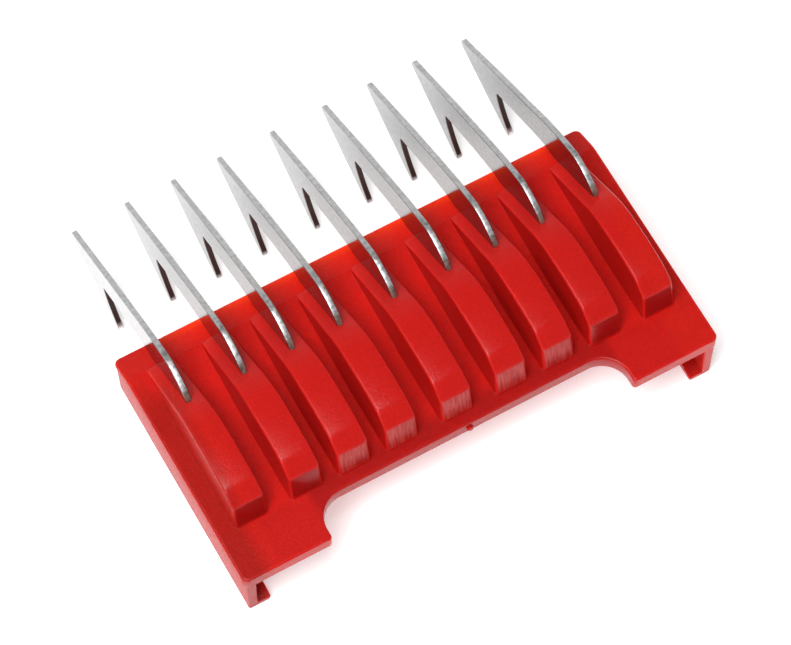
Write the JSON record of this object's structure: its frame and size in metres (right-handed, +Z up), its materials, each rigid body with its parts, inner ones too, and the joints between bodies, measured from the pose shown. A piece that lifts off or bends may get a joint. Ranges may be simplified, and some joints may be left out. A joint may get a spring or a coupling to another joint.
{
  "type": "clipper guide comb",
  "caption": "Slide-on guide comb for an animal clipper blade: a ribbed moulded plate with side rails, and a row of flat steel tines with a notch behind each nose.",
  "frame": {"origin": "centre of the bounding box in X and Y, at the level of the lowest point, the free ends of the tines' lower prongs", "axes": "+X across the width, +Y towards the tine tips, +Z up, square to the flat plate that lies on the blade"},
  "size_m": [0.054, 0.0446, 0.0155],
  "materials": {
    "red_plastic": "satin moulded red plastic, fine spark-eroded texture in the valleys",
    "tine_steel": "stamped and barrel-polished stainless steel"
  },
  "bodies": {
    "root": {"comb_body": "red_plastic", "tine_1": "tine_steel", "tine_2": "tine_steel", "tine_3": "tine_steel", "tine_4": "tine_steel", "tine_5": "tine_steel", "tine_6": "tine_steel", "tine_7": "tine_steel", "tine_8": "tine_steel", "tine_9": "tine_steel"}
  },
  "joints": []
}
